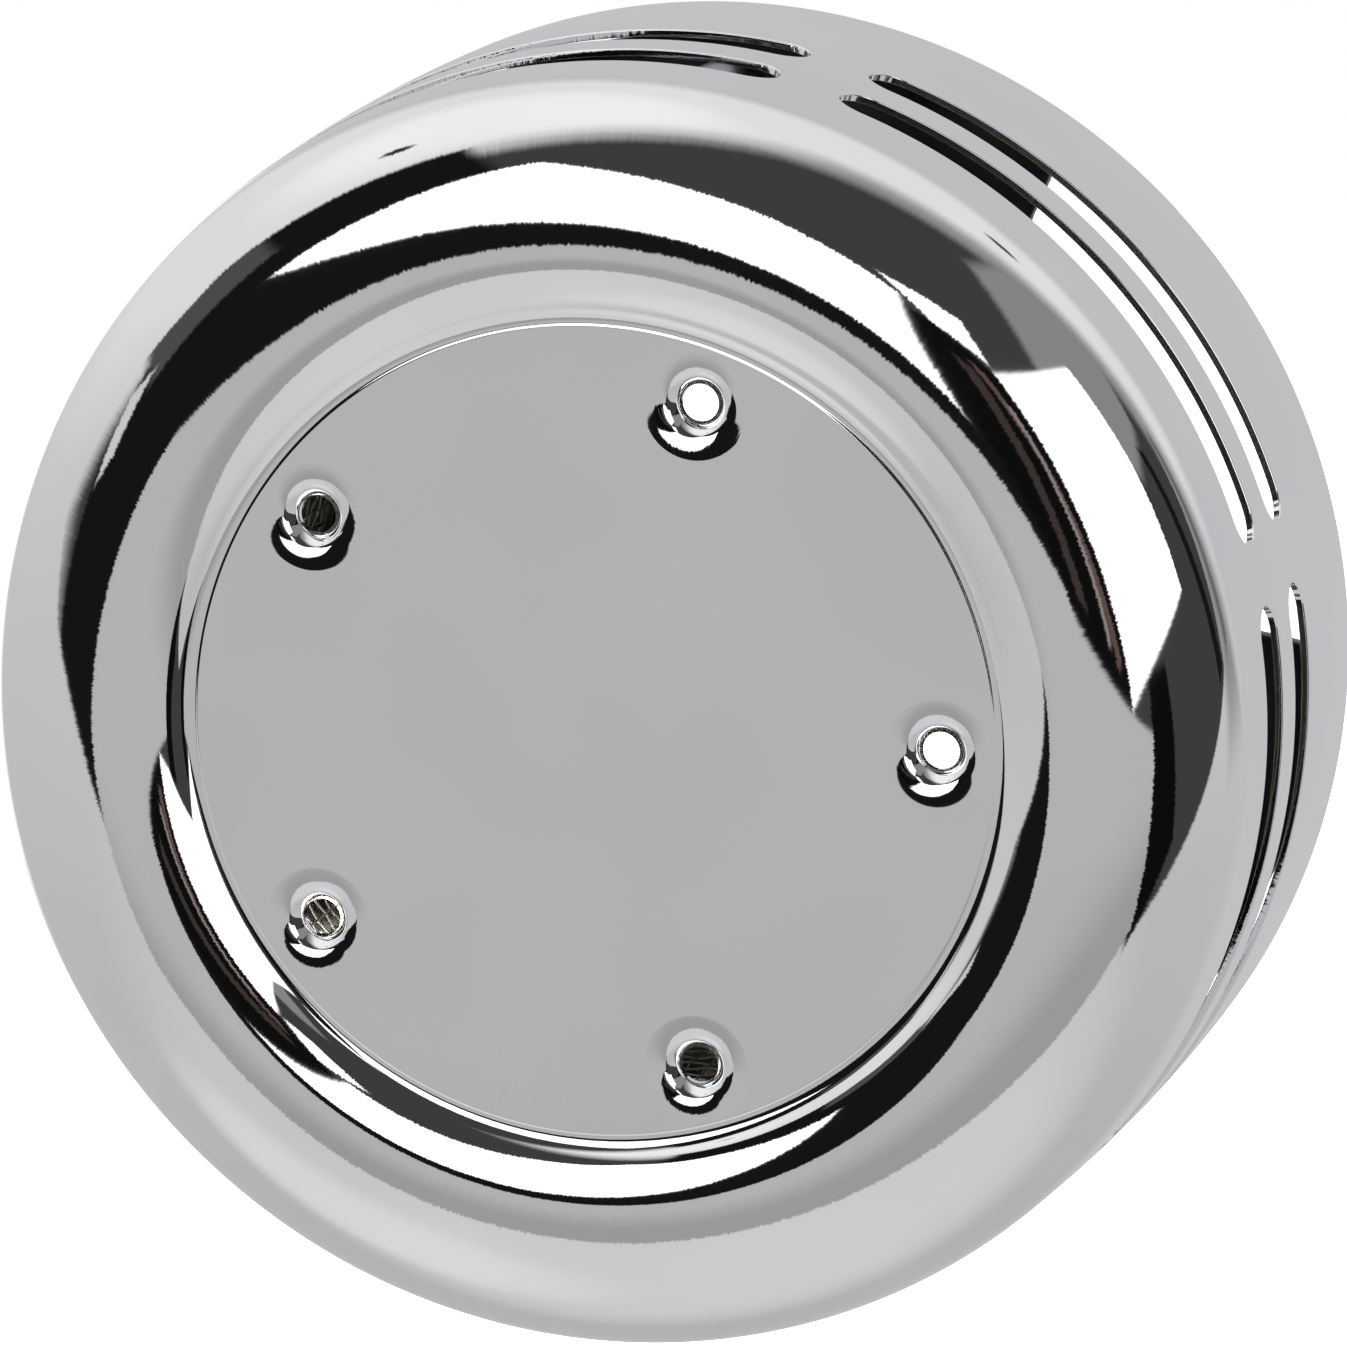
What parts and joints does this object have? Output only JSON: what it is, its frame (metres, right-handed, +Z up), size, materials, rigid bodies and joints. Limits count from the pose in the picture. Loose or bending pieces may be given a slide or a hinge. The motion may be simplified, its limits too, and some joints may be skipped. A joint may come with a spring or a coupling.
{
  "type": "air filter housing",
  "caption": "Round chromed air filter housing with slotted sides, a sunken dimpled face disc, an open lobed back plate and a ring filter inside.",
  "frame": {"origin": "on the housing's axis, in the back face of the throat gasket, which bolts against the carburettor", "axes": "+Y along the axis from the face of the cover to its back, +Z up as the housing hangs on its carburettor, +X to the right seen from the front"},
  "size_m": [0.1698, 0.081, 0.1698],
  "materials": {
    "chrome_plate": "polished, chromium-plated drawn steel",
    "zinc_plate": "satin zinc plate",
    "screen_wire": "galvanised woven wire screen",
    "urethane": "matt moulded urethane",
    "cotton_gauze": "matt pleated gauze",
    "black_enamel": "semi-gloss black stove enamel on steel",
    "cast_aluminium": "turned and bead-blasted",
    "gasket_sheet": "matt fibre-filled gasket sheet"
  },
  "bodies": {
    "base": {"base_plate": "black_enamel", "air_horn": "cast_aluminium", "throat_gasket": "gasket_sheet", "cover_washer_1": "zinc_plate", "cover_washer_2": "zinc_plate", "cover_washer_3": "zinc_plate", "cover_screw_1": "zinc_plate", "cover_screw_2": "zinc_plate", "cover_screw_3": "zinc_plate", "throat_washer_1": "zinc_plate", "throat_washer_2": "zinc_plate", "throat_washer_3": "zinc_plate", "throat_screw_1": "zinc_plate", "throat_screw_2": "zinc_plate", "throat_screw_3": "zinc_plate"},
    "filter": {"filter_end_cap_front": "urethane", "filter_end_cap_rear": "urethane", "filter_media": "cotton_gauze", "filter_screen_inner": "screen_wire", "filter_screen_outer": "screen_wire"},
    "cover": {"cover_shell": "chrome_plate", "cover_post_1": "zinc_plate", "cover_post_2": "zinc_plate", "cover_post_3": "zinc_plate"}
  },
  "joints": [
    {"name": "cover_lift", "type": "slide", "parent": "base", "child": "cover", "axis": [0, -1, 0], "range_m": [0, 0.15]},
    {"name": "filter_lift", "type": "slide", "parent": "base", "child": "filter", "axis": [0, -1, 0], "range_m": [0, 0.075]}
  ],
  "couplings": [
    {"joint": "filter_lift", "follows": "cover_lift", "ratio": 0.5}
  ]
}
